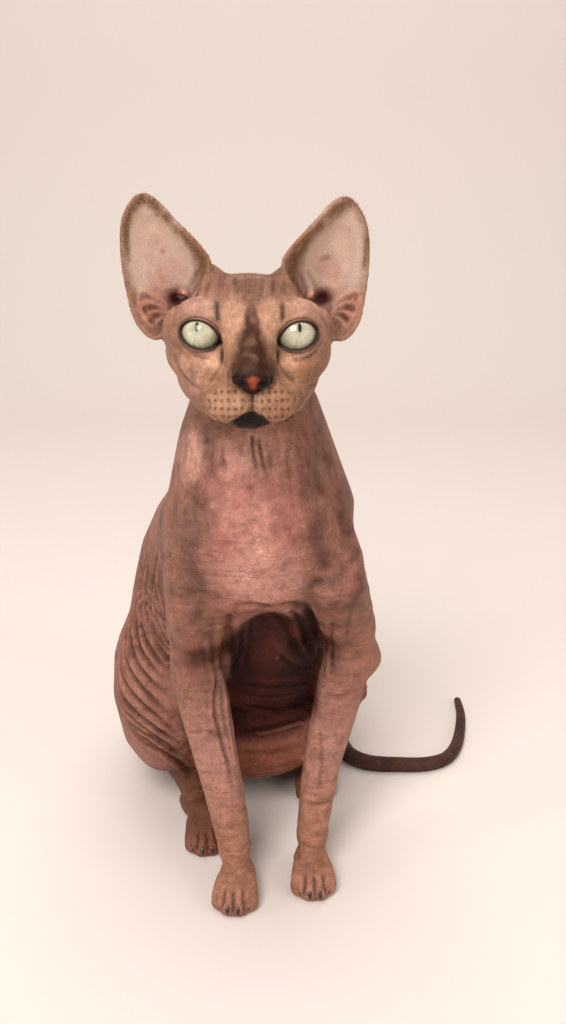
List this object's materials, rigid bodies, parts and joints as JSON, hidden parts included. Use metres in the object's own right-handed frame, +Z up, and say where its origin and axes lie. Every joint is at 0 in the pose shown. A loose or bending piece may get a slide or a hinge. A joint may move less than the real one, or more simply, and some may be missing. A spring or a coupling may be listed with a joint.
{
  "type": "seated cat model",
  "caption": "Life-size still model of a hairless cat sitting upright and facing forward, with its tail laid round on the floor.",
  "frame": {"origin": "at floor level, under the middle of the whole model's box", "axes": "+X to the cat's left, +Y from the face back to the rump, +Z up"},
  "size_m": [0.2322, 0.2802, 0.359],
  "materials": {
    "skin": "bare skin, satin, finely wrinkled",
    "pale_skin": "bare skin, satin, creased",
    "ear_skin": "thin bare skin, satin",
    "dark_skin": "bare skin, satin",
    "eye": "wet gloss",
    "claw": "polished horn"
  },
  "bodies": {
    "root": {"head": "skin", "neck": "pale_skin", "torso": "skin", "ear_left": "ear_skin", "ear_right": "ear_skin", "eye_left": "eye", "eye_right": "eye", "front_left_leg": "skin", "front_right_leg": "skin", "hind_left_leg": "skin", "hind_right_leg": "skin", "front_left_paw": "skin", "front_right_paw": "skin", "hind_left_paw": "skin", "hind_right_paw": "skin", "tail_base": "dark_skin", "tail_middle": "dark_skin", "tail_far": "dark_skin", "tail_tip": "dark_skin"}
  },
  "joints": []
}
